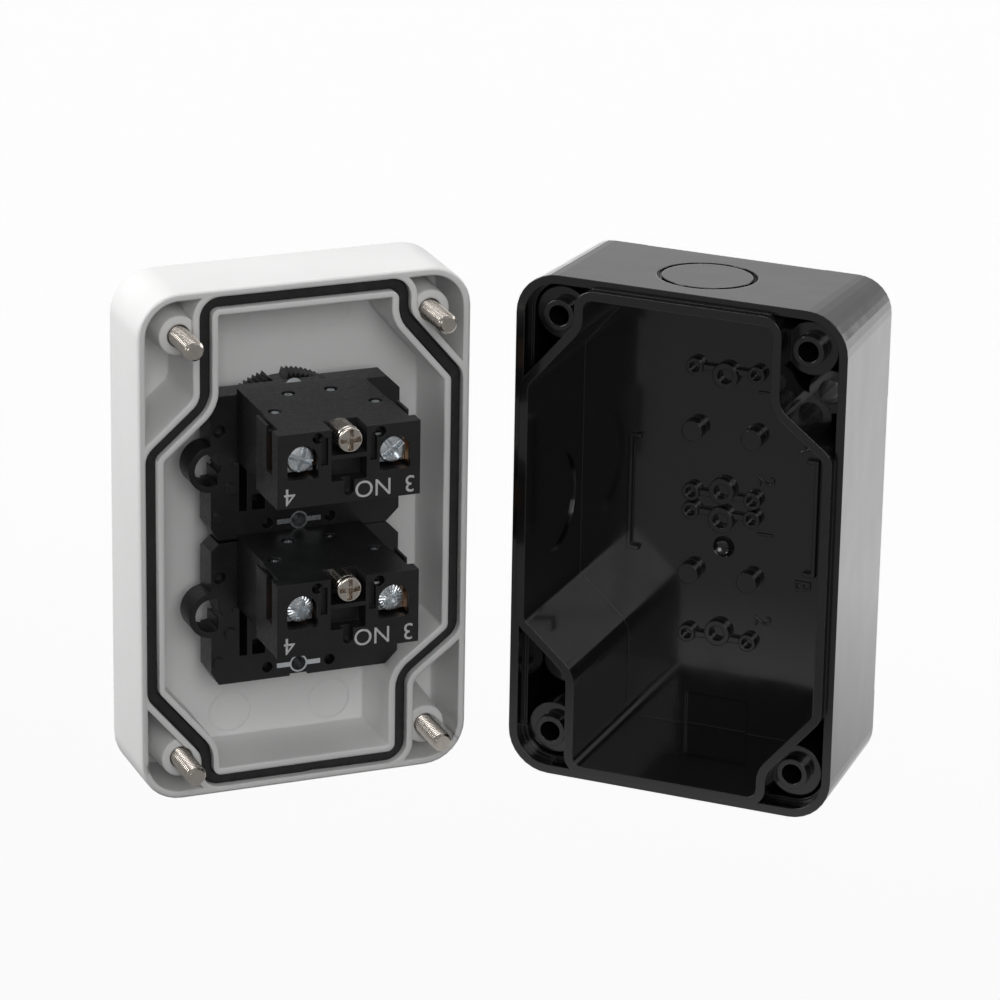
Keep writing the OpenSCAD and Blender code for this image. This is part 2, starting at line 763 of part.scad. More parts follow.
// Base: walls, tongue, corner wells with screw bosses, fixing posts, knockouts and moulded details
module base_box() {
    color(black) difference() {
        union() {
            difference() {
                base_body();
                prism(-over, base_floor) base_seal_outline(tongue_gap + tongue_t);
                prism(-over, base_floor) difference() {
                    box_outline(base_rim + base_taper / 2);
                    base_seal_outline(tongue_gap);
                }
                prism(-over, base_step_sink) difference() {
                    box_outline(base_rim);
                    base_seal_outline(tongue_gap);
                }
                back_recess();
            }
            prism(-tongue_rise, over) difference() {
                base_seal_outline(tongue_gap);
                base_seal_outline(tongue_gap + tongue_t);
            }
            intersection() {
                base_posts();
                base_body();
            }
            for (which = [lower, upper]) at_button(which) back_bosses();
            guide_ribs();
            well_ledge();
        }
        at_screws() bar(0, 0, -over, base_hole_l, base_hole_d);
        at_fixings() bar(0, 0, -over, base_depth + over, fixing_hole_d);
        for (which = [lower, upper]) at_button(which) back_boss_holes();
        translate([dimple_x, base_floor - dimple_r + dimple_t, dimple_z]) sphere(r = dimple_r);
        slab(0, panel_w, base_floor - over, base_floor + panel_t, base_rim + tongue_t,
            base_rim + tongue_t + panel_h);
        top_knockout();
        side_knockout();
    }
}

// Shallow cross between the four pads on the base's back
module back_recess() {
    slab(0, pad_gap_w, base_back, base_depth + over, -over, box_h + over);
    slab(0, box_w, base_back, base_depth + over, pad_low, box_h - pad_high);
}

// Stepped bosses for the cover screws, and the posts round the wall fixing holes
module base_posts() {
    at_screws() {
        bar(0, 0, base_step_sink, base_floor + over, base_step_d);
        bar(0, 0, base_boss_sink, base_step_sink + over, base_boss_d);
    }
    at_fixings() bar(0, 0, fixing_post_sink, base_floor + over, fixing_post_d);
}

// Small bosses, webs and pegs on the back wall, round one button's axis
module back_bosses() {
    top = base_floor - hub_rise;
    for (s = sides) {
        bar(0, s * hub_z, top, base_floor + over, hub_d);
        bar(s * peg_x, 0, base_floor - peg_rise, base_floor + over, peg_d);
        slab(0, 2 * stud_x, top + hub_rise / 3, base_floor + over, s * stud_z - web_w / 2,
            s * stud_z + web_w / 2);
        for (sx = sides) bar(sx * stud_x, s * stud_z, top, base_floor + over, stud_d);
    }
}

// Blind holes in those bosses
module back_boss_holes() {
    top = base_floor - hub_rise;
    for (s = sides) {
        bar(0, s * hub_z, top - over, base_floor, hub_hole_d);
        for (sx = sides) bar(sx * stud_x, s * stud_z, top - over, base_floor, stud_hole_d);
    }
}

// Two upright guide ribs with turned-in ends on the back wall
module guide_ribs() {
    z0 = box_h / 2 - guide_l / 2;
    z1 = box_h / 2 + guide_l / 2;
    for (s = sides) {
        slab(s * guide_x, guide_w, base_floor - guide_rise, base_floor + over, z0, z1);
        for (z = [z0, z1 - guide_w])
            slab(s * (guide_x - guide_end / 2), guide_end, base_floor - guide_rise, base_floor + over,
                z, z + guide_w);
    }
}

// Curved ledge that follows the outer corner of the lower left well
module well_ledge() {
    r = box_corner - base_rim;
    translate([box_corner - box_w / 2, 0, box_corner])
        rotate([90, 0, 0]) translate([0, 0, -base_floor - over])
            linear_extrude(base_floor + over - ledge_sink) difference() {
                intersection() {
                    circle(r = r + over);
                    translate([-r - over, -r - over]) square(r + over);
                }
                circle(r = r - ledge_w);
            }
}

// Knockout in the top end: a groove from outside and a shallow recess inside
module top_knockout() {
    wall_in = box_h / 2 + seal_h / 2 - tongue_gap - tongue_t;
    translate([0, knockout_y, 0]) knockout(wall_in, box_h);
}

// Knockout in the left side
module side_knockout() {
    wall_in = seal_w / 2 - tongue_gap - tongue_t;
    translate([0, knockout_y, box_h / 2]) rotate([0, -90, 0]) knockout(wall_in, box_w / 2);
}

// The groove and recess of one knockout, through a wall from z = inside to z = outside
module knockout(inside, outside) {
    translate([0, 0, inside + knockout_recess + knockout_web]) difference() {
        cylinder(d = knockout_d, h = outside - inside);
        translate([0, 0, -over])
            cylinder(d = knockout_d - 2 * knockout_groove, h = outside - inside + 2 * over);
    }
    translate([0, 0, inside - over]) cylinder(d = knockout_d + knockout_groove, h = over + knockout_recess);
}

// Bezel with its barrel: a tube through the cover with a shoulder that stops the button's foot
module bezel() {
    color(black) turned([[foot_d / 2 + slide_gap, barrel_back], [barrel_d / 2, barrel_back],
        [barrel_d / 2, bezel_back], [bezel_d / 2, bezel_back], [bezel_d / 2, bezel_front - front_chamfer],
        [bezel_d / 2 - front_chamfer, bezel_front], [bore_d / 2 + front_chamfer, bezel_front],
        [bore_d / 2, bezel_front - front_chamfer], [bore_d / 2, shoulder_top],
        [stem_bore_d / 2, shoulder_top], [stem_bore_d / 2, shoulder_y],
        [foot_d / 2 + slide_gap, shoulder_y]]);
}

// Flat seal between the bezel and the cover's front
module panel_seal() {
    color(rubber) turned([[bezel_d / 2 - panel_seal_w - slide_gap, cover_depth],
        [bezel_d / 2 - slide_gap, cover_depth], [bezel_d / 2 - slide_gap, bezel_back],
        [bezel_d / 2 - panel_seal_w - slide_gap, bezel_back]]);
}

// Button: dished cap, stem and the foot that moves the plunger
module button(tint) {
    color(tint) turned([[0, foot_back], [foot_d / 2, foot_back], [foot_d / 2, shoulder_y],
        [stem_d / 2, shoulder_y], [stem_d / 2, cap_back], [cap_d / 2, cap_back],
        [cap_d / 2, cap_front - front_chamfer], [cap_d / 2 - front_chamfer, cap_front],
        [cap_d * dish_share, cap_front], [cap_d * dish_share - cap_dish, cap_front - cap_dish],
        [0, cap_front - cap_dish]]);
}

// Spring that returns the button, round its stem
module return_spring() {
    color(nickel) coil(shoulder_top, cap_back, return_coil_r, return_wire_d, return_turns);
}

// Serrated ring that clamps the barrel to the cover from inside, with a gap after each group of teeth
module lock_ring() {
    tooth_a = 360 / lock_teeth;
    tip_r = lock_d / 2;
    group_end = teeth_per_group - teeth_left_out;
    color(black) plate(lock_back, cover_floor) difference() {
        polygon([for (i = [0:lock_teeth - 1]) for (k = [0, 1])
            let (a = (i + k * tooth_share) * tooth_a, in_gap = i % teeth_per_group >= group_end,
                r = in_gap ? tip_r - lock_gap_t : tip_r - lock_tooth * (1 - k))
            r * [cos(a), sin(a)]]);
        circle(d = barrel_d + 2 * slide_gap);
    }
}

// Collar's outline: cut corners, a stepped top edge and the ear at the left
module collar_outline() {
    low_up = collar_up - collar_step;
    low_cut = collar_cut * low_cut_share;
    polygon([[-collar_left, collar_cut - collar_down], [low_cut - collar_left, -collar_down],
        [collar_right - collar_cut, -collar_down], [collar_right, collar_cut - collar_down],
        [collar_right, collar_up - collar_cut], [collar_right - collar_cut, collar_up],
        [collar_step_x + collar_step, collar_up], [collar_step_x, low_up],
        [low_cut - collar_left, low_up], [-collar_left, low_up - low_cut]]);
    translate([-ear_x, -ear_down]) circle(d = ear_d);
}

// Collar: plate with its central opening, ear, pins and slots, and a hub and a skirt behind it; a
// notch in its lower edge clears the neighbour's nut
module collar() {
    hub_back = lock_back - slide_gap;
    color(black) difference() {
        union() {
            plate(collar_y, collar_back) collar_outline();
            bar(0, 0, collar_back - over, hub_back, collar_hub_d);
            slab(skirt_t / 2 - collar_left, skirt_t, collar_back - over, hub_back,
                collar_cut - collar_down, collar_up - collar_cut);
            for (p = pip_shares)
                bar(p.x * collar_left, p.y * collar_down, collar_y - pip_rise, collar_y + over, p.z * pip_d);
        }
        bar(0, 0, collar_y - over, barrel_back, collar_hole_d);
        bar(0, 0, barrel_back - thread_gap, lock_back + over, barrel_d + 2 * thread_gap);
        slab(0, nut_d, collar_y - over, collar_back + over, -collar_down - over, -neighbour_z);
        bar(pit_share.x * collar_left, pit_share.y * collar_down, collar_y - over, collar_y + pit_t, pit_d);
        ear_hole();
        for (s = sides) {
            translate([0, 0, s * nut_z]) strip_space();
            for (sx = sides)
                bar(sx * stud_x, s * nut_z, collar_y - over, collar_y + collar_t / 2, stud_hole_d);
        }
        side_slots();
    }
}

// Hole in the ear: flat at the right, with a small bump in the flat
module ear_hole() {
    flat_x = ear_hole_d / 2 * ear_flat_share;
    end = lock_back;
    translate([-ear_x, 0, -ear_down]) {
        intersection() {
            bar(0, 0, collar_y - over, end, ear_hole_d);
            slab(flat_x - ear_hole_d / 2, ear_hole_d, collar_y - over, end, -ear_hole_d, ear_hole_d);
        }
        bar(flat_x, 0, collar_y - over, end, ear_hole_d / 2 * ear_bump_share);
    }
}

// The long and the short upright slots in the collar's left part
module side_slots() {
    slab(long_slot_w / 2 - long_slot_x, long_slot_w, collar_y - over, collar_back - over, -slot_down,
        long_slot_up);
    slab(short_slot_w / 2 - short_slot_x, short_slot_w, collar_y - over, collar_back - over, -slot_down,
        short_slot_h - slot_down);
}

// Space that one nut strip fills
module strip_space() {
    slab(0, strip_l, collar_y - over, collar_y + strip_t, -strip_h / 2, strip_h / 2);
    bar(0, 0, collar_y - over, collar_y + nut_l, nut_d);
}

// The two nut strips: a flat bar with a threaded ring in its middle
module nut_strips() {
    color(zinc) for (s = sides) translate([0, 0, s * nut_z]) difference() {
        union() {
            slab(0, strip_l, collar_y, collar_y + strip_t, -strip_h / 2, strip_h / 2);
            bar(0, 0, collar_y, collar_y + nut_l, nut_d);
        }
        bar(0, 0, collar_y - over, collar_y + nut_l + over, nut_bore_d);
    }
}

// Contact block housing: front and rear bodies with all their openings
module block() {
    color(black) difference() {
        union() {
            slab(0, block_w, block_front, block_mid, block_low, block_high);
            slab(0, block_rear_w, block_mid - over, collar_y, block_low, block_high);
        }
        fixing_channel();
        for (s = sides) {
            terminal_space(s);
            side_details(s);
        }
        contact_chamber();
        at_rivets() {
            bar_down(block_high + over, block_high - rivet_pit_t, rivet_pit_d);
            bar_down(block_high, block_high - rivet_pit_t - rivet_l, rivet_d);
        }
    }
}

// Children at each rivet in the block's upper face
module at_rivets() {
    for (p = rivet_shares) translate([p.x * block_w / 2, -p.y * block_reach, 0]) children();
}

// A round upright bar from z1 down to z0
module bar_down(z1, z0, d) {
    translate([0, 0, z0]) cylinder(d = d, h = z1 - z0);
}

// Open channel and bore for the fixing screw, with the dark pocket and the notch below it
module fixing_channel() {
    channel_low = block_high - channel_h;
    pocket_z = block_low + pocket_low;
    slab(0, channel_w, block_front - over, block_front + channel_l, channel_low, block_high + over);
    bar(0, nut_z, block_front - over, collar_y + over, fix_d + 2 * slide_gap);
    slab(0, channel_w, block_front - over, block_front + pocket_l, pocket_z, channel_low - pocket_gap);
    slab(0, notch_w, block_front - over, block_front + notch_w, pocket_z - notch_w, pocket_z + over);
    bar(0, pocket_z - notch_w, block_front - over, block_front + notch_w, notch_w);
}

// One terminal: the arched window, and the space for its screw, clamp plate and contact strip
module terminal_space(s) {
    top = window_z + window_w / 2 + slide_gap;
    bar(s * window_x, window_z, block_front - over, term_head_y + over, window_w);
    slab(s * window_x, window_w, block_front - over, term_head_y + over, sill_z, window_z);
    slab(s * window_x, window_w + 2 * slide_gap, term_head_y, clamp_y + term_l + slide_gap, sill_z, top);
    slab(s * (window_x + window_w / 2), side_groove_t * 2, term_head_y, leg_y + plate_t + slide_gap,
        sill_z + slide_gap, top);
    slab(s * (riser_x + plate_t / 2), plate_t + 2 * slide_gap, leg_y, chamber_front + over,
        riser_low - slide_gap, riser_low + bridge_w + plate_t + slide_gap);
}

// Small hole, narrow slot, side groove and upper slot on one side
module side_details(s) {
    slot_x = s * (channel_w / 2 + side_slot_w);
    groove_y = block_front + side_groove_y;
    bar(s * tool_hole_x, block_high - tool_hole_down, block_front - over, block_front + tool_hole_l,
        tool_hole_d);
    slab(slot_x, side_slot_w, block_front - over, block_front + side_slot_t, block_low + side_slot_low,
        block_high - tool_hole_down);
    slab(s * (strip_x + block_w / 4), block_w / 2, groove_y, groove_y + side_groove_l,
        sill_z + slide_gap, block_high + over);
    slab(s * (strip_x + top_slot_w / 2), top_slot_w, block_mid - top_slot_l, block_mid + over,
        block_high - side_slot_t, block_high + over);
}

// Chamber behind, for the bridge and its spring, with the plunger's hole
module contact_chamber() {
    wall = plate_t;
    slab(0, block_rear_w - 2 * wall, chamber_front, chamber_back, block_low + 2 * wall,
        nut_z - fix_d - 2 * slide_gap);
    bar(0, plunger_z, chamber_back - over, collar_y + over, plunger_d + 2 * slide_gap);
}

// Rivets in the top face of the block
module block_rivets() {
    color(zinc) at_rivets() difference() {
        bar_down(block_high - rivet_pit_t / 3, block_high - rivet_pit_t - rivet_l, rivet_d);
        bar_down(block_high + over, block_high - rivet_pit_t, rivet_d / 2);
    }
}

// Captive screw that holds the block on the collar
module fixing_screw() {
    seat = block_front + channel_l;
    front = block_front - fix_proud;
    end = collar_y + nut_l;
    color(nickel) translate([0, 0, nut_z]) difference() {
        turned([[0, front], [fix_head_d * fix_face_share, front],
            [fix_head_d / 2, front + fix_head_d * fix_edge_share], [fix_head_d / 2, seat],
            [fix_d / 2, seat], [fix_d / 2, end], [0, end]]);
        cross_cut(front - over, front + fix_head_d * fix_slot_shares.z, fix_head_d * fix_slot_shares.x,
            fix_head_d * fix_slot_shares.y);
    }
}

// One terminal screw, with a head for a cross or a flat blade
module terminal_screw(s) {
    end = clamp_y + term_l;
    color(zinc) translate([s * window_x, 0, window_z]) difference() {
        turned([[0, term_head_y], [term_head_d * pan_face_share, term_head_y],
            [term_head_d / 2, term_head_y + term_head_h * pan_side_share], [term_head_d / 2, clamp_y],
            [term_d / 2, clamp_y], [term_d / 2, end], [0, end]]);
        cross_cut(term_head_y - over, term_head_y + term_head_h * pan_slot_shares.z,
            term_head_d * pan_slot_shares.x, term_head_d * pan_slot_shares.y);
    }
}

// The two square plates that the terminal screws press onto a wire
module clamp_plates() {
    color(zinc) for (s = sides) translate([s * window_x, 0, window_z]) difference() {
        slab(0, clamp_w, clamp_y, clamp_y + plate_t, -clamp_w / 2, clamp_w / 2);
        bar(0, 0, clamp_y - over, clamp_y + plate_t + over, term_d + 2 * slide_gap);
    }
}

// The two fixed contact strips: edge in the side groove, threaded leg, riser and contact leg
module contact_strips() {
    top = window_z + clamp_w / 2;
    outer_x = riser_x + plate_t;
    inner_x = contact_x - contact_d / 2 - slide_gap;
    leg_w = strip_x - window_x + window_w / 2;
    color(copper) for (s = sides) {
        difference() {
            union() {
                slab(s * (strip_x - plate_t / 2), plate_t, term_head_y, leg_y + plate_t, strip_low, top);
                slab(s * (strip_x - leg_w / 2), leg_w, leg_y, leg_y + plate_t, strip_low, top);
            }
            bar(s * window_x, window_z, leg_y - over, leg_y + plate_t + over, term_d + 2 * thread_gap);
        }
        slab(s * (outer_x - plate_t / 2), plate_t, leg_y, fixed_y, riser_low, riser_low + bridge_w + plate_t);
        slab(s * (outer_x + inner_x) / 2, outer_x - inner_x, fixed_y - plate_t, fixed_y,
            plunger_z - bridge_w / 2, plunger_z + bridge_w / 2);
        bar(s * contact_x, plunger_z, fixed_y - lap, fixed_y + contact_t, contact_d);
    }
}

// Plunger that carries the bridge: shaft through the back wall and a pin through the spring
module plunger() {
    color(green) translate([0, 0, plunger_z])
        turned([[0, foot_back], [plunger_d / 2, foot_back], [plunger_d / 2, -bridge_y],
            [pin_d / 2, -bridge_y], [pin_d / 2, -bridge_y - pin_l], [0, -bridge_y - pin_l]]);
}

// Moving bridge with its two contact studs
module bridge() {
    color(copper) translate([0, 0, plunger_z]) difference() {
        union() {
            slab(0, bridge_l, rest_y, -bridge_y, -bridge_w / 2, bridge_w / 2);
            for (s = sides) bar(s * contact_x, 0, rest_y - contact_t, -bridge_y - lap, contact_d);
        }
        bar(0, 0, rest_y - contact_t - over, -bridge_y + over, pin_d);
    }
}

// Spring under the bridge
module contact_spring() {
    color(nickel) translate([0, 0, plunger_z])
        coil(chamber_front, rest_y, contact_coil_r, contact_wire_d, contact_turns);
}

base_place() base_box();
cover_place() cover_shell();
cover_place() gasket();
cover_place() cover_screw(left, upper);  // cover_screw_top_left
cover_place() cover_screw(right, upper);  // cover_screw_top_right
cover_place() cover_screw(left, lower);  // cover_screw_bottom_left
cover_place() cover_screw(right, lower);  // cover_screw_bottom_right
unit_place(upper) bezel();  // upper_bezel
unit_place(upper) panel_seal();  // upper_panel_seal
unit_place(upper) button(green);  // upper_button
unit_place(upper) return_spring();  // upper_return_spring
unit_place(upper) lock_ring();  // upper_lock_ring
unit_place(upper) collar();  // upper_collar
unit_place(upper) nut_strips();  // upper_nut_strips
unit_place(upper) block();  // upper_block
unit_place(upper) block_rivets();  // upper_block_rivets
unit_place(upper) fixing_screw();  // upper_fixing_screw
unit_place(upper) terminal_screw(left);  // upper_terminal_screw_left
unit_place(upper) terminal_screw(right);  // upper_terminal_screw_right
unit_place(upper) clamp_plates();  // upper_clamp_plates
unit_place(upper) contact_strips();  // upper_contact_strips
unit_place(upper) plunger();  // upper_plunger
unit_place(upper) bridge();  // upper_bridge
unit_place(upper) contact_spring();  // upper_contact_spring
unit_place(lower) bezel();  // lower_bezel
unit_place(lower) panel_seal();  // lower_panel_seal
unit_place(lower) button(dark);  // lower_button
unit_place(lower) return_spring();  // lower_return_spring
unit_place(lower) lock_ring();  // lower_lock_ring
unit_place(lower) collar();  // lower_collar
unit_place(lower) nut_strips();  // lower_nut_strips
unit_place(lower) block();  // lower_block
unit_place(lower) block_rivets();  // lower_block_rivets
unit_place(lower) fixing_screw();  // lower_fixing_screw
unit_place(lower) terminal_screw(left);  // lower_terminal_screw_left
unit_place(lower) terminal_screw(right);  // lower_terminal_screw_right
unit_place(lower) clamp_plates();  // lower_clamp_plates
unit_place(lower) contact_strips();  // lower_contact_strips
unit_place(lower) plunger();  // lower_plunger
unit_place(lower) bridge();  // lower_bridge
unit_place(lower) contact_spring();  // lower_contact_spring
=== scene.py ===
from math import radians

import bmesh
import bpy
import numpy as np
from mathutils import Matrix, Vector


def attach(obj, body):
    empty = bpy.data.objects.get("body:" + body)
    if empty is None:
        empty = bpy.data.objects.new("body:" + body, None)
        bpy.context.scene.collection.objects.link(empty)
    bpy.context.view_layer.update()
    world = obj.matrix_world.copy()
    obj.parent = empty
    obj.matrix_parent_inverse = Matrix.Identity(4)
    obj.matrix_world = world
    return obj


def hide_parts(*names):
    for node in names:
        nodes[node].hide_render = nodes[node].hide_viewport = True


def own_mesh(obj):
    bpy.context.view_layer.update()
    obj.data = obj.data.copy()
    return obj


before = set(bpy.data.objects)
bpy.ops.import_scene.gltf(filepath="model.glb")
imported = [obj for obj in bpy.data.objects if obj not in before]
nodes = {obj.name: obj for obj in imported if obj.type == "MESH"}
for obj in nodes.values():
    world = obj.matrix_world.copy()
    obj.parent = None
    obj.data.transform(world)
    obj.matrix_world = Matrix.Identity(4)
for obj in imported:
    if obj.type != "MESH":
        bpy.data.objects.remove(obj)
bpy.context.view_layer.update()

# Places and sizes of the station, as in its source
BOX_H = 106.0
BASE_X, BASE_Y = 35.9, 10.6
COVER_LEFT, COVER_AHEAD, COVER_TURN = 68.7, 24.6, radians(44.3)
BUTTON_PITCH = 30.8
UNITS = {"upper": BOX_H / 2 + BUTTON_PITCH / 2, "lower": BOX_H / 2 - BUTTON_PITCH / 2}
SIDES = (("left", -1), ("right", 1))
ENDS = (("top", 1), ("bottom", -1))

# The seal's outer outline: half its width and height, how far its two ends are narrower, where each
# notch begins and ends from the end of the box, and the radius of its corners
SEAL_HALF_W, SEAL_HALF_H, SEAL_NECK = 33.1, 51.6, 11.2
STEEP_NEAR, STEEP_FAR = 7.5, 20.8
FLAT_NEAR, FLAT_FAR = 18.2, 26.8
LONG_NEAR, LONG_FAR = 21.2, 31.0
SEAL_BEND = 4.2

# Gasket: width and depth of the strip, its middle in from the outline and behind the rim
GASKET_W, GASKET_T, GASKET_IN, GASKET_Y = 2.5, 3.0, 1.3, 2.7
# Inner wall of the cover: its edge in from the outline, and the round on it
WALL_EDGE, EDGE_ROUND = 3.9, 0.9

# Screws: spacing of the cover's four, and the places of the others from the middle of their unit
SCREW_X, SCREW_Z = 52.0, 88.6
FIXING_UP = 13.4
TERMINAL_OUT, TERMINAL_UP = 9.4, 9.8

# Letters: their height, then depth and thickness of the print on the blocks and the marks in the base
LETTER_H = 3.4
PRINT_Y, PRINT_T, PRINT_UP = -24.99, 0.03, 2.8
MARK_Y, MARK_T = 28.03, 0.3

# Distance in metres within which points of a mesh are taken as one
MERGE = 2e-6

# White of the lights and the stage, and the point in metres that the lamps aim at
WHITE = (1, 1, 1, 1)
MIDDLE = (0.0, 0.0, 0.05)

# The photograph's viewpoint, in metres, and the direction it looks in
EYE = (0.360811, -0.865474, 0.407483)
SIGHT = (-0.35841, 0.86687, -0.34652)
LENS, SENSOR, ROLL = 181.95, 36, radians(1.004)


# Camera

def make_camera():
    """The photograph's viewpoint: a long lens from the front right and above, rolled by a degree."""
    data = bpy.data.cameras.new("camera")
    data.lens = LENS
    data.sensor_width = SENSOR
    data.clip_start = 0.05
    camera = bpy.data.objects.new("camera", data)
    back = -Vector(SIGHT).normalized()
    across = Vector((0, 0, 1)).cross(back).normalized()
    up = back.cross(across)
    c, s = np.cos(ROLL), np.sin(ROLL)
    across, up = across * c + up * s, up * c - across * s
    camera.matrix_world = Matrix.Translation(EYE) @ Matrix((across, up, back)).transposed().to_4x4()
    bpy.context.scene.collection.objects.link(camera)
    bpy.context.scene.camera = camera


make_camera()


# Placing and making of surfaces

def on_cover(points):
    """Points in the cover's frame, in mm, to metres: turn about z, then shift to the cover's middle."""
    x, y, z = np.moveaxis(np.asarray(points, float), -1, 0)
    c, s = np.cos(COVER_TURN), np.sin(COVER_TURN)
    left, ahead = BASE_X - COVER_LEFT, BASE_Y - COVER_AHEAD
    return np.stack([left + x * c - y * s, ahead + x * s + y * c, z], -1) / 1000


def on_base(points):
    """Points in the base's frame, in mm, to metres: a plain shift."""
    return (np.asarray(points, float) + (BASE_X, BASE_Y, 0)) / 1000


def link(name, mesh, material):
    """A new object of the mesh, with one material, at the origin."""
    piece = bpy.data.objects.new(name, mesh)
    bpy.context.scene.collection.objects.link(piece)
    mesh.materials.append(material)
    return piece


def merged(mesh):
    """A mesh opened for work, with its double points merged."""
    work = bmesh.new()
    work.from_mesh(mesh)
    bmesh.ops.remove_doubles(work, verts=work.verts, dist=MERGE)
    return work


def shaded(work, mesh, angle):
    """Closes the work into mesh, and shades it smooth except over edges sharper than angle."""
    work.to_mesh(mesh)
    work.free()
    mesh.polygons.foreach_set("use_smooth", np.ones(len(mesh.polygons), bool))
    mesh.set_sharp_from_angle(angle=radians(angle))


def clean(mesh, angle):
    """Merges doubles, points every face outwards and shades smooth except over sharp edges."""
    work = merged(mesh)
    bmesh.ops.recalc_face_normals(work, faces=work.faces)
    shaded(work, mesh, angle)


def round_angles(count):
    """A row of count angles that go once round."""
    return np.linspace(0, 2 * np.pi, count, endpoint=False)[None, :]


def grid_mesh(name, rows, closed_rows=False):
    """A mesh from a grid of points, rows by columns: each row is a closed ring of columns. The last
    row joins the first where closed_rows is set, and otherwise both end rows shrink to a point."""
    n, m = rows.shape[:2]
    if not closed_rows:
        ends = rows[[0, -1]].mean(1, keepdims=True).repeat(m, 1)
        rows = np.concatenate([ends[:1], rows, ends[1:]])
        n += 2
    i = np.arange(n if closed_rows else n - 1)[:, None]
    j = np.arange(m)[None, :]
    a, b = i * m + j, i * m + (j + 1) % m
    c, d = ((i + 1) % n) * m + (j + 1) % m, ((i + 1) % n) * m + j
    faces = np.stack([a, b, c, d], -1).reshape(-1, 4)
    mesh = bpy.data.meshes.new(name)
    mesh.from_pydata(rows.reshape(-1, 3).tolist(), [], faces.tolist())
    return mesh


def turned_piece(name, radius, depth, x, z, material, angle):
    """A turned part in the cover: row k has radius[k, j] at angle j and depth[k, j] along y, round
    the axis through x, z."""
    around = round_angles(radius.shape[1])
    rows = np.stack([x + radius * np.cos(around), depth + 0 * around, z + radius * np.sin(around)], -1)
    mesh = grid_mesh(name, on_cover(rows))
    clean(mesh, angle)
    return link(name, mesh, material)


def thread_cut(y, angle, pitch, deep):
    """Depth of a rounded thread at depth y and angle: a cosine wave that moves on by one pitch a turn."""
    return deep * (0.5 - 0.5 * np.cos(2 * np.pi * (y / pitch - angle / (2 * np.pi))))


def rim_rows(rim, count):
    """Radius and depth of the plain rings of a turned part, from pairs of radius and depth."""
    rim = np.array(rim)
    return np.repeat(rim[:, :1], count, 1), np.repeat(rim[:, 1:], count, 1)


def cross_depth(x, z, width, length, soft):
    """1 inside a cross of two bars of the given width and length, 0 outside, blended over soft."""
    x, z = np.abs(x), np.abs(z)
    upright = np.maximum(x - width / 2, z - length / 2)
    level = np.maximum(z - width / 2, x - length / 2)
    away = np.minimum(upright, level)
    return np.clip(0.5 - away / soft, 0, 1)


def head_rows(radius, face, height_at, count, rings, sunk):
    """Rows from a head's middle to its edge: depth face + height_at(r) + sunk(x, z, r, angle)."""
    angle = round_angles(count)
    r = np.linspace(radius / rings, radius, rings)[:, None] + 0 * angle
    return r, face + height_at(r) + sunk(r * np.cos(angle), r * np.sin(angle), r, angle)


# Materials: procedural, on Object coordinates in metres

def start(name):
    """A new material, with its node tree and its Principled surface."""
    m = bpy.data.materials.new(name)
    m.use_nodes = True
    tree = m.node_tree
    return m, tree, tree.nodes["Principled BSDF"]


def node(tree, kind, **values):
    """A node with its settings, and its plain input values where a name matches a socket."""
    n = tree.nodes.new(kind)
    for key, value in values.items():
        if key in n.inputs:
            n.inputs[key].default_value = value
        else:
            setattr(n, key, value)
    return n


def noise(tree, scale, detail=3.0, stretch=None, turn=0.0):
    """Fractal noise over Object coordinates; scale is in cells per metre."""
    place = node(tree, "ShaderNodeTexCoord")
    mapped = node(tree, "ShaderNodeMapping", Rotation=(0, 0, turn), Scale=stretch or (1, 1, 1))
    made = node(tree, "ShaderNodeTexNoise", Scale=scale, Detail=detail, Roughness=0.55)
    tree.links.new(place.outputs["Object"], mapped.inputs["Vector"])
    tree.links.new(mapped.outputs["Vector"], made.inputs["Vector"])
    return made.outputs["Fac"]


def spread(tree, source, low, high, out_low, out_high):
    """Carries source from low..high to out_low..out_high, held at the ends."""
    made = node(tree, "ShaderNodeMapRange", clamp=True)
    for key, value in (("From Min", low), ("From Max", high), ("To Min", out_low), ("To Max", out_high)):
        made.inputs[key].default_value = value
    tree.links.new(source, made.inputs["Value"])
    return made.outputs["Result"]


def tones(tree, source, stops):
    """A colour ramp between two stops, each a position and a colour."""
    made = node(tree, "ShaderNodeValToRGB")
    for element, (position, colour) in zip(made.color_ramp.elements, stops):
        element.position = position
        element.color = (*colour, 1)
    tree.links.new(source, made.inputs["Fac"])
    return made.outputs["Color"]


def relief(tree, surface, layers, edge=0.0):
    """Bump layers, each a source and a height in metres, over edges that the Bevel node rounds by edge."""
    normal = node(tree, "ShaderNodeBevel", samples=6, Radius=edge).outputs["Normal"] if edge else None
    for source, height in layers:
        bump = node(tree, "ShaderNodeBump", Strength=1.0, Distance=height)
        tree.links.new(source, bump.inputs["Height"])
        if normal:
            tree.links.new(normal, bump.inputs["Normal"])
        normal = bump.outputs["Normal"]
    tree.links.new(normal, surface.inputs["Normal"])


def dress(tree, surface, cloud, stops, wear, rough):
    """Colour from cloud through two stops; roughness from wear, which spread() carries through rough."""
    tree.links.new(tones(tree, cloud, stops), surface.inputs["Base Color"])
    tree.links.new(spread(tree, wear, *rough), surface.inputs["Roughness"])


def white_plastic():
    """Off-white satin moulding: faint cloudy tone, fine spark-eroded grain, softened edges."""
    m, tree, s = start("white_plastic")
    dress(tree, s, noise(tree, 45, 4), ((0.3, (0.80, 0.80, 0.795)), (0.7, (0.84, 0.84, 0.835))),
          noise(tree, 700, 4), (0.3, 0.7, 0.34, 0.46))
    relief(tree, s, [(noise(tree, 2600, 2), 0.000006), (noise(tree, 60, 2), 0.00005)], 0.0007)
    s.inputs["IOR"].default_value = 1.5
    s.inputs["Subsurface Weight"].default_value = 0.06
    s.inputs["Subsurface Radius"].default_value = (0.0012, 0.001, 0.0008)
    return m


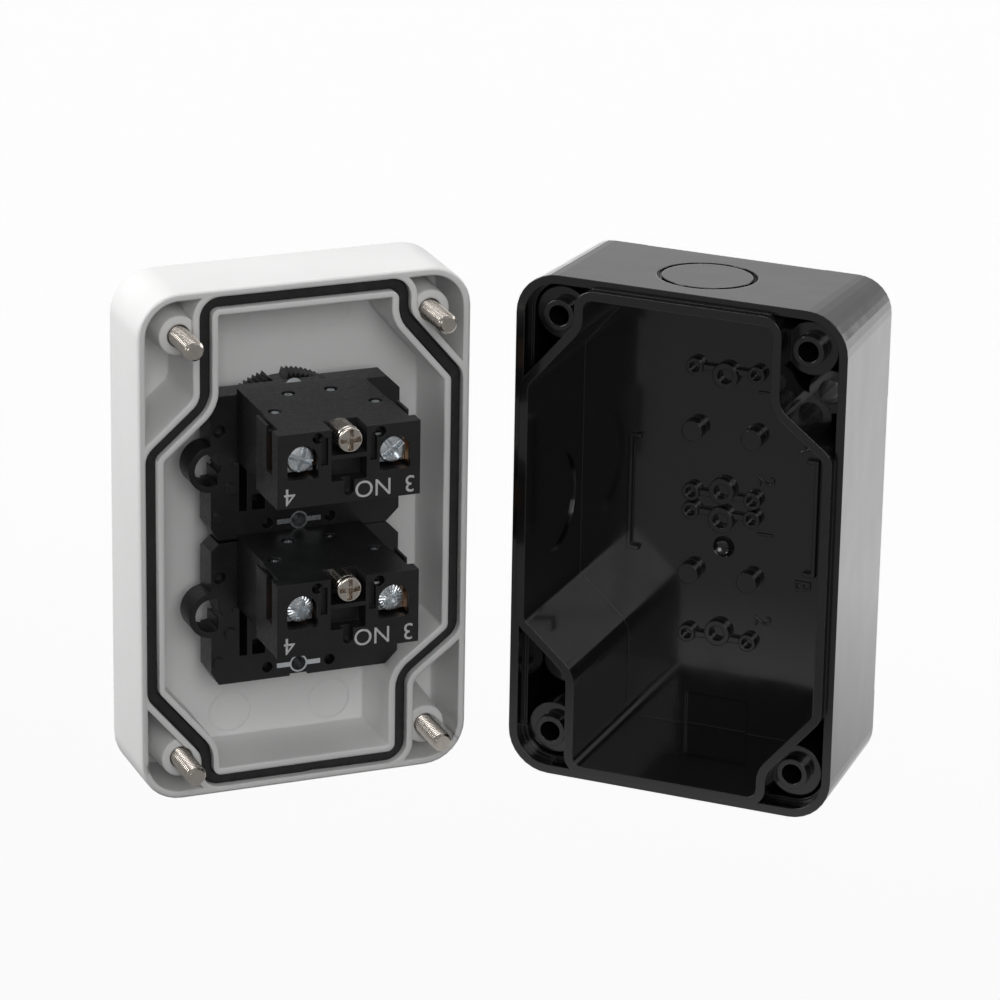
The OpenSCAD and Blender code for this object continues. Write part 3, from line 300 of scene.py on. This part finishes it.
def black_gloss():
    """Glossy black moulding: slow waves in the walls, flow-streaked gloss, faint dust and rub marks."""
    m, tree, s = start("black_gloss")
    dust = spread(tree, noise(tree, 1900, 6), 0.66, 0.74, 0, 1)
    streaks = noise(tree, 160, 4, (1, 1, 0.18))
    dress(tree, s, dust, ((0.0, (0.0055, 0.0055, 0.006)), (1.0, (0.022, 0.022, 0.022))),
          streaks, (0.3, 0.75, 0.10, 0.20))
    relief(tree, s, [(noise(tree, 42, 2), 0.00022), (noise(tree, 700, 2), 0.000002)], 0.0004)
    s.inputs["IOR"].default_value = 1.55
    s.inputs["Coat Weight"].default_value = 0.35
    s.inputs["Coat Roughness"].default_value = 0.06
    s.inputs["Coat IOR"].default_value = 1.55
    return m


def black_plastic():
    """Satin black moulding of the contact blocks and collars, with a fine even grain."""
    m, tree, s = start("black_plastic")
    dress(tree, s, noise(tree, 240, 5), ((0.3, (0.007, 0.007, 0.008)), (0.75, (0.013, 0.013, 0.014))),
          noise(tree, 1300, 3), (0.3, 0.7, 0.30, 0.44))
    relief(tree, s, [(noise(tree, 3000, 2), 0.000006), (noise(tree, 200, 2), 0.00003)], 0.0002)
    s.inputs["IOR"].default_value = 1.48
    return m


def rubber():
    """Matt black rubber with a talc bloom and a pitted skin."""
    m, tree, s = start("rubber")
    dress(tree, s, noise(tree, 380, 5), ((0.35, (0.006, 0.006, 0.006)), (0.8, (0.018, 0.018, 0.018))),
          noise(tree, 900, 3), (0.3, 0.7, 0.50, 0.68))
    relief(tree, s, [(noise(tree, 2200, 3), 0.00002)], 0.00015)
    return m


def metal(name, dark, light, rough, grain):
    """Plated metal: tone clouds, fine drawn grain in the bump and a roughness that varies with it."""
    m, tree, s = start(name)
    dress(tree, s, noise(tree, 500, 5), ((0.3, dark), (0.7, light)),
          noise(tree, 1500, 4), (0.3, 0.7, *rough))
    relief(tree, s, [(noise(tree, grain, 2), 0.0000015)])
    s.inputs["Metallic"].default_value = 1.0
    return m


def button_plastic(name, dark, light):
    """Glossy coloured cap with a faint cloud in its tone and fine wear in its gloss."""
    m, tree, s = start(name)
    dress(tree, s, noise(tree, 90, 4), ((0.3, dark), (0.7, light)),
          noise(tree, 1100, 5), (0.3, 0.75, 0.18, 0.34))
    relief(tree, s, [(noise(tree, 2400, 2), 0.000008)], 0.0002)
    return m


def print_ink():
    """White pad print: slightly uneven ink."""
    m, tree, s = start("print_ink")
    dress(tree, s, noise(tree, 1800, 4), ((0.3, (0.50, 0.50, 0.50)), (0.7, (0.68, 0.68, 0.68))),
          noise(tree, 2500, 3), (0.3, 0.7, 0.4, 0.6))
    return m


finishes = {
    "white_plastic": white_plastic(), "black_gloss": black_gloss(), "black_plastic": black_plastic(),
    "rubber": rubber(),
    "nickel": metal("nickel", (0.58, 0.53, 0.48), (0.68, 0.63, 0.57), (0.20, 0.30), 2500),
    "zinc": metal("zinc", (0.58, 0.62, 0.65), (0.80, 0.83, 0.85), (0.24, 0.40), 3000),
    "copper": metal("copper", (0.55, 0.27, 0.12), (0.80, 0.46, 0.24), (0.25, 0.42), 2500),
    "green_plastic": button_plastic("green_plastic", (0.010, 0.19, 0.055), (0.016, 0.24, 0.075)),
    "dark_plastic": button_plastic("dark_plastic", (0.020, 0.020, 0.022), (0.032, 0.032, 0.034)),
}
ink = print_ink()

# The CAD nodes take the finish of their material slot

SLOT_PARTS = {
    "white_plastic": ["cover_shell"], "black_gloss": ["base_box"], "rubber": ["gasket", "panel_seal"],
    "black_plastic": ["bezel", "lock_ring", "collar", "block"],
    "nickel": ["cover_screw_top_left", "cover_screw_top_right", "cover_screw_bottom_left",
               "cover_screw_bottom_right", "fixing_screw", "return_spring", "contact_spring"],
    "zinc": ["nut_strips", "block_rivets", "terminal_screw_left", "terminal_screw_right", "clamp_plates"],
    "copper": ["contact_strips", "bridge"], "green_plastic": ["plunger"], "dark_plastic": [],
}
slot_of = {part: slot for slot, parts in SLOT_PARTS.items() for part in parts}
slot_of.update(upper_button="green_plastic", lower_button="dark_plastic")
for name, made in nodes.items():
    plain = name.removeprefix("upper_").removeprefix("lower_")
    made.data.materials.clear()
    made.data.materials.append(finishes[slot_of.get(name) or slot_of[plain]])


# Gasket: a soft-edged strip along the seal's outline

def seal_route():
    """The seal's outer outline with rounded corners, as points and inward normals: each straight run
    is cut into equal parts of about one step, and each arc into arc_steps parts."""
    step, arc_steps = 1.5, 12
    hw, hh, bend = SEAL_HALF_W, SEAL_HALF_H, SEAL_BEND
    inner = hw - SEAL_NECK
    corner = np.array([
        (-inner, hh), (inner, hh), (inner, hh - STEEP_NEAR), (hw, hh - STEEP_FAR),
        (hw, FLAT_FAR - hh), (inner, FLAT_NEAR - hh), (inner, -hh), (-inner, -hh),
        (-inner, STEEP_NEAR - hh), (-hw, STEEP_FAR - hh), (-hw, hh - LONG_FAR), (-inner, hh - LONG_NEAR)])
    ahead = np.roll(corner, -1, 0) - corner
    span = np.linalg.norm(ahead, axis=1)
    out = ahead / span[:, None]
    come = np.roll(out, 1, 0)
    turn = np.arctan2(come[:, 0] * out[:, 1] - come[:, 1] * out[:, 0], (come * out).sum(1))
    cut = bend * np.tan(np.abs(turn) / 2)
    points, normals = [], []
    for k in range(len(corner)):
        side = np.sign(turn[k])
        follow = (k + 1) % len(corner)
        first = -side * np.array((-come[k][1], come[k][0]))
        centre = corner[k] - come[k] * cut[k] - bend * first
        a = (np.linspace(0, 1, arc_steps + 1) * turn[k])[:, None]
        arm = np.concatenate([first[0] * np.cos(a) - first[1] * np.sin(a),
                              first[0] * np.sin(a) + first[1] * np.cos(a)], 1)
        points.append(centre + bend * arm)
        normals.append(-arm if side < 0 else arm)
        steps = max(int((span[k] - cut[k] - cut[follow]) / step), 2)
        t = np.linspace(0, 1, steps, endpoint=False)[1:, None]
        begin = corner[k] + out[k] * cut[k]
        end = corner[follow] - out[k] * cut[follow]
        points.append(begin + (end - begin) * t)
        normals.append(np.repeat([[out[k][1], -out[k][0]]], len(t), 0))
    return np.concatenate(points), np.concatenate(normals)


def make_gasket():
    """Sweep: at each route point, a rectangle of the strip's width and depth with rounded corners,
    where square gives cosine and sine a power below one, in the plane of the inward normal and the
    depth. Its face rises and falls in a slow wave, and dips and steps aside at the joint, which lies
    in the lower run."""
    joint_x, joint_w, joint_deep, aside_w, aside_step = 1.5, 0.7, 0.35, 4.0, 0.125
    wave_deep, wave_turn = 0.04, 0.37
    points, normals = seal_route()
    angle = round_angles(28)

    def square(wave):
        return np.sign(wave) * np.abs(wave) ** 0.35

    low_run = points[:, 1:] < STEEP_NEAR + SEAL_BEND - SEAL_HALF_H
    from_joint = points[:, :1] - joint_x
    dip = joint_deep * np.exp(-(from_joint / joint_w) ** 2) * low_run
    aside = aside_step * np.exp(-(from_joint / aside_w) ** 2) * low_run * np.sign(from_joint)
    wave = wave_deep * np.sin(np.arange(len(points)) * wave_turn)[:, None]
    depth = GASKET_Y + square(np.sin(angle)) * GASKET_T / 2 + (dip + wave) * (np.sin(angle) < 0)
    reach = GASKET_IN + square(np.cos(angle)) * GASKET_W / 2 + aside
    x = points[:, :1] + normals[:, :1] * reach
    z = points[:, 1:] + normals[:, 1:] * reach + BOX_H / 2
    mesh = grid_mesh("gasket_strip", on_cover(np.stack([x, depth, z], -1)), closed_rows=True)
    clean(mesh, 50)
    piece = link("gasket_strip", mesh, finishes["rubber"])
    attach(piece, "cover")
    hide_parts("gasket")


make_gasket()


# Cover: the inner wall's edge is rounded

def make_cover():
    """A merged copy of the cover's solid. Its edges in the rim plane that lie WALL_EDGE in from the
    seal's outline are the inner wall's, and get a round. Its large faces keep their own normals."""
    rim_slack, edge_slack, flat_within, sharp_from = 0.02, 0.2, 0.6, 1.2
    work = merged(nodes["cover_shell"].data)
    bmesh.ops.dissolve_limit(work, angle_limit=radians(flat_within), verts=work.verts, edges=work.edges)
    work.verts.ensure_lookup_table()
    place = np.array([v.co for v in work.verts]) * 1000 - (BASE_X - COVER_LEFT, BASE_Y - COVER_AHEAD, 0)
    c, s = np.cos(COVER_TURN), np.sin(COVER_TURN)
    across, depth = place[:, 0] * c + place[:, 1] * s, place[:, 1] * c - place[:, 0] * s
    flat = np.stack([across, place[:, 2] - BOX_H / 2], -1)
    points, normals = seal_route()
    away = flat[:, None] - points[None]
    near = (away ** 2).sum(-1).argmin(1)
    inward = (away[np.arange(len(flat)), near] * normals[near]).sum(-1)
    inner = (np.abs(depth) < rim_slack) & (np.abs(inward - WALL_EDGE) < edge_slack)
    edges = [e for e in work.edges if inner[e.verts[0].index] and inner[e.verts[1].index]
             and len(e.link_faces) == 2 and e.calc_face_angle(0) > sharp_from]
    bmesh.ops.bevel(work, geom=edges, offset=EDGE_ROUND / 1000, segments=4, profile=0.5,
                    affect="EDGES", clamp_overlap=True)
    mesh = bpy.data.meshes.new("cover_moulding")
    shaded(work, mesh, 32)
    piece = link("cover_moulding", mesh, finishes["white_plastic"])
    even = piece.modifiers.new("even", "WEIGHTED_NORMAL")
    even.weight, even.keep_sharp = 100, True
    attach(piece, "cover")
    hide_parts("cover_shell")


make_cover()


# Springs: merged copies, carried by the cover

def make_spring(spring):
    """A merged copy of a spring, shaded smooth and carried by the cover, with a mesh of its own."""
    mesh = bpy.data.meshes.new(spring + "_wire")
    shaded(merged(nodes[spring].data), mesh, 50)
    piece = link(spring + "_wire", mesh, finishes["nickel"])
    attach(piece, "cover")
    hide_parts(spring)
    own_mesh(piece)


for unit in UNITS:
    make_spring(unit + "_return_spring")
    make_spring(unit + "_contact_spring")


# Cover screws: machine thread on the shank, cross recess in the head

def make_cover_screw(name, sx, sz):
    """Shank rows: the shank's radius less a rounded thread that follows depth and angle and fades
    out at thread_end, drawn in to tip_r at the tip; then the head's side and its face, which falls
    away with the square of the radius and has a cross recess."""
    count, shank_r, tip_r, tip_y, seat_y, face_at = 48, 2.02, 1.5, -10, 16.4, 18.6
    pitch, step, thread_deep, thread_end, fade = 0.7, 0.07, 0.38, 2.6, 1.2
    angle = round_angles(count)
    y = np.concatenate([np.arange(tip_y, 3, step), np.linspace(3.2, seat_y, 12)])[:, None]
    cut = thread_cut(y, angle, pitch, thread_deep) * np.clip((thread_end - y) / fade, 0, 1)
    shank = np.minimum(shank_r - cut, tip_r + y - tip_y)
    side_r, side_y = rim_rows([(3.35, seat_y), (3.6, 16.55), (3.6, 17.6), (3.45, 18.1), (3.0, 18.5)], count)
    face_r, face_y = head_rows(2.8, face_at, lambda r: -0.012 * r ** 2, count, 16,
                               lambda x, z, r, a: -1.5 * cross_depth(x, z, 0.9, 4.4, 0.3))
    radius = np.concatenate([shank, side_r, face_r[::-1]])
    depth = np.concatenate([y + 0 * angle, side_y, face_y[::-1]])
    piece = turned_piece(name + "_thread", radius, depth, sx * SCREW_X / 2, BOX_H / 2 + sz * SCREW_Z / 2,
                         finishes["nickel"], 42)
    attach(piece, name)
    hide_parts(name)


for side_name, sx in SIDES:
    for end_name, sz in ENDS:
        make_cover_screw(f"cover_screw_{end_name}_{side_name}", sx, sz)


# Captive fixing screws and terminal screws of the contact blocks

def make_fixing_screw(unit, z):
    """Rows: the head's face, which falls away with the square of the radius and has a cross recess;
    its rim and collar; the barrel, whose flutes are a cosine of the angle; and the shank, threaded
    from thread_start on."""
    count, flutes, barrel_r, flute_deep = 84, 14, 2.5, 0.13
    shank_r, thread_start, end_y, pitch, step, thread_deep = 1.4, 1.1, 7.4, 0.5, 0.0625, 0.22
    angle = round_angles(count)
    face_r, face_y = head_rows(2.15, -26.0, lambda r: 0.02 * r ** 2, count, 18,
                               lambda x, z, r, a: 1.5 * cross_depth(x, z, 0.85, 3.9, 0.25))
    rim_r, rim_y = rim_rows([(2.35, -25.85), (barrel_r, -25.6), (barrel_r, -24.9), (2.36, -24.75),
                             (2.36, -24.55), (barrel_r, -24.4)], count)
    body_y = np.linspace(-24.3, -19.7, 10)[:, None]
    body_r = barrel_r - flute_deep * (0.5 + 0.5 * np.cos(flutes * angle)) + 0 * body_y
    foot_r, foot_y = rim_rows([(2.45, -19.4), (shank_r, -19.4)], count)
    shank_y = np.concatenate([np.linspace(-19, 1, 30), np.arange(thread_start, end_y, step)])[:, None]
    shank = shank_r - thread_cut(shank_y, angle, pitch, thread_deep) * (shank_y >= thread_start)
    radius = np.concatenate([face_r, rim_r, body_r, foot_r, shank])
    depth = np.concatenate([face_y, rim_y, body_y + 0 * angle, foot_y, shank_y + 0 * angle])
    piece = turned_piece(f"{unit}_fixing_screw_fluted", radius, depth, 0, z + FIXING_UP,
                         finishes["nickel"], 50)
    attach(piece, f"{unit}_fixing_screw")
    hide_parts(f"{unit}_fixing_screw")


def make_terminal_screw(unit, side_name, side, z, ribs):
    """Rows: a domed face with a cross recess, and radial ribs where given, which are a cosine of the
    angle outside rib_from; the rim and the underside; and the threaded shank."""
    count, shank_r, thread_deep, pitch, step, rib_from = 120, 1.5, 0.2, 0.5, 0.0625, 1.0
    angle = round_angles(count)
    tilt = radians(20 if side < 0 else -35)

    def sunk(x, z, r, a):
        tx, tz = x * np.cos(tilt) - z * np.sin(tilt), x * np.sin(tilt) + z * np.cos(tilt)
        cross = 1.15 * cross_depth(tx, tz, 0.8, 3.4 if ribs else 4.6, 0.22)
        if not ribs:
            return cross
        rib = 0.16 * (0.5 + 0.5 * np.cos(ribs * a)) * np.clip((r - rib_from) / 0.5, 0, 1)
        return np.maximum(cross, rib)

    face_r, face_y = head_rows(2.55, -23.9, lambda r: 0.05 * r ** 2, count, 20, sunk)
    rim_r, rim_y = rim_rows([(2.72, -23.42), (2.85, -23.1), (2.85, -22.1), (2.75, -21.9), (shank_r, -21.9)],
                            count)
    shank_y = np.arange(-21.85, -15.25, step)[:, None]
    shank = shank_r - thread_cut(shank_y, angle, pitch, thread_deep)
    radius = np.concatenate([face_r, rim_r, shank])
    depth = np.concatenate([face_y, rim_y, shank_y + 0 * angle])
    name = f"{unit}_terminal_screw_{side_name}"
    piece = turned_piece(name + "_head", radius, depth, side * TERMINAL_OUT, z + TERMINAL_UP,
                         finishes["zinc"], 50)
    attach(piece, name)
    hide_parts(name)


for unit, z in UNITS.items():
    make_fixing_screw(unit, z)
    for side_name, side in SIDES:
        make_terminal_screw(unit, side_name, side, z, 0 if unit == "upper" else 22)


# Terminal numbers printed on the blocks, and marks moulded in the base

def letters(name, words, thick, set_down, material, body):
    """Flat letters made a mesh, scaled to the letters' height and centred, then carried by set_down
    from (across, up, out) to the place."""
    curve = bpy.data.curves.new(name + "_curve", "FONT")
    curve.body = words
    curve.extrude = 0.02
    curve.resolution_u = 6
    text = bpy.data.objects.new(name + "_text", curve)
    bpy.context.scene.collection.objects.link(text)
    bpy.context.view_layer.update()
    mesh = bpy.data.meshes.new_from_object(text.evaluated_get(bpy.context.evaluated_depsgraph_get()))
    bpy.data.objects.remove(text)
    co = np.empty(len(mesh.vertices) * 3)
    mesh.vertices.foreach_get("co", co)
    co = co.reshape(-1, 3)
    low, high = co.min(0), co.max(0)
    flat = (co[:, :2] - (low[:2] + high[:2]) / 2) * LETTER_H / (high[1] - low[1])
    placed = set_down(flat[:, 0], flat[:, 1], (co[:, 2] > 0) * thick)
    mesh.vertices.foreach_set("co", placed.reshape(-1))
    mesh.name = name
    mesh.materials.clear()
    clean(mesh, 30)
    piece = link(name, mesh, material)
    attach(piece, body)


def block_print(unit, z, words, x, label):
    """Upside down on the block's front face, with its middle at x and PRINT_UP over the unit's."""
    letters(f"{unit}_print_{label}", words, PRINT_T,
            lambda a, b, out: on_cover(np.stack([x - a, PRINT_Y - out, z + PRINT_UP - b], -1)),
            ink, "cover")


for unit, z in UNITS.items():
    for words, x, label in (("4", -12.1, "four"), ("NO", 4.9, "open"), ("3", 12.5, "three")):
        block_print(unit, z, words, x, label)


def moulded_mark(words, x, z, label):
    """Lying on its side on the base's back wall, its top to the right and its middle at x and z."""
    letters(f"base_mark_{label}", words, MARK_T,
            lambda a, b, out: on_base(np.stack([x + b, MARK_Y - out, z - a], -1)),
            finishes["black_gloss"], "base")


for words, x, z, label in (
        ("1", 8.5, 78.0, "1_upper"), ("A", 17.6, 67.9, "A"), ("2", 9.2, 59.2, "2_upper"),
        ("1", 9.2, 47.8, "1_lower"), ("B", 17.7, 37.9, "B"), ("2", 9.45, 29.1, "2_lower")):
    moulded_mark(words, x, z, label)


# Stage and light

def seen_by(tree, *kinds):
    """1 for the rays named: the greatest of Light Path's outputs."""
    path = node(tree, "ShaderNodeLightPath")
    total = path.outputs[kinds[0]]
    for kind in kinds[1:]:
        most = node(tree, "ShaderNodeMath", operation="MAXIMUM")
        tree.links.new(total, most.inputs[0])
        tree.links.new(path.outputs[kind], most.inputs[1])
        total = most.outputs[0]
    return total


def make_floor():
    """A large disc: pale and matt, with a glow for camera, glossy and transmission rays that brings
    it to white away from the object's shadow."""
    angle, below = round_angles(96), 0.0002
    radius = np.array([0.3, 1.0, 3.0, 8.0])[:, None]
    rows = np.stack([radius * np.cos(angle), radius * np.sin(angle), 0 * radius * angle - below], -1)
    mesh = grid_mesh("floor", rows[::-1])
    mesh.polygons.foreach_set("use_smooth", np.zeros(len(mesh.polygons), bool))
    m, tree, s = start("floor")
    s.inputs["Base Color"].default_value = (0.8, 0.8, 0.8, 1)
    s.inputs["Roughness"].default_value = 0.9
    s.inputs["Specular IOR Level"].default_value = 0.1
    glow = node(tree, "ShaderNodeEmission", Color=WHITE)
    both = node(tree, "ShaderNodeAddShader")
    where = node(tree, "ShaderNodeSeparateXYZ")
    tree.links.new(node(tree, "ShaderNodeTexCoord").outputs["Object"], where.inputs[0])
    behind = spread(tree, where.outputs["Y"], -0.05, 0.14, 0.25, 1.2)
    mirrored = node(tree, "ShaderNodeMath", operation="MULTIPLY")
    tree.links.new(seen_by(tree, "Is Glossy Ray"), mirrored.inputs[0])
    tree.links.new(behind, mirrored.inputs[1])
    shown = node(tree, "ShaderNodeMath", operation="MULTIPLY")
    shown.inputs[1].default_value = 0.95
    tree.links.new(seen_by(tree, "Is Camera Ray", "Is Transmission Ray"), shown.inputs[0])
    level = node(tree, "ShaderNodeMath", operation="ADD")
    tree.links.new(mirrored.outputs[0], level.inputs[0])
    tree.links.new(shown.outputs[0], level.inputs[1])
    tree.links.new(level.outputs[0], glow.inputs["Strength"])
    tree.links.new(s.outputs["BSDF"], both.inputs[0])
    tree.links.new(glow.outputs["Emission"], both.inputs[1])
    tree.links.new(both.outputs[0], tree.nodes["Material Output"].inputs["Surface"])
    link("floor", mesh, m)


def make_world():
    """Plain grey fill light. Camera and transmission rays see white, and glossy rays a grey that gets
    lighter towards the back."""
    world = bpy.data.worlds.new("studio")
    bpy.context.scene.world = world
    world.use_nodes = True
    tree = world.node_tree
    fill = tree.nodes["Background"]
    fill.inputs["Color"].default_value = WHITE
    fill.inputs["Strength"].default_value = 0.38
    way = node(tree, "ShaderNodeSeparateXYZ")
    tree.links.new(node(tree, "ShaderNodeTexCoord").outputs["Generated"], way.inputs[0])
    mirrored = node(tree, "ShaderNodeBackground", Color=WHITE)
    tree.links.new(spread(tree, way.outputs["Y"], -0.3, 0.6, 0.22, 0.62), mirrored.inputs["Strength"])
    white = node(tree, "ShaderNodeBackground", Color=WHITE, Strength=1.0)
    gloss = node(tree, "ShaderNodeMixShader")
    tree.links.new(seen_by(tree, "Is Glossy Ray"), gloss.inputs["Fac"])
    tree.links.new(fill.outputs[0], gloss.inputs[1])
    tree.links.new(mirrored.outputs[0], gloss.inputs[2])
    mix = node(tree, "ShaderNodeMixShader")
    tree.links.new(seen_by(tree, "Is Camera Ray", "Is Transmission Ray"), mix.inputs["Fac"])
    tree.links.new(gloss.outputs[0], mix.inputs[1])
    tree.links.new(white.outputs[0], mix.inputs[2])
    tree.links.new(mix.outputs[0], tree.nodes["World Output"].inputs["Surface"])


def lamp(name, place, power, size):
    """A square area light that points at the middle of the part."""
    aim = Vector(MIDDLE) - Vector(place)
    data = bpy.data.lights.new(name, "AREA")
    data.energy = power
    data.size = size
    made = bpy.data.objects.new(name, data)
    made.location = place
    made.rotation_euler = aim.to_track_quat("-Z", "Y").to_euler()
    bpy.context.scene.collection.objects.link(made)


make_floor()
make_world()
lamp("key_left", (-1.5, -1.0, 0.9), 25, 1.0)
lamp("top", (-0.3, 0.3, 1.7), 10.5, 1.2)
lamp("fill_front", (1.0, -1.6, 0.9), 12, 1.0)
lamp("rim_right", (1.3, 1.6, 0.5), 10, 1.2)

bpy.context.scene.view_settings.view_transform = "Standard"
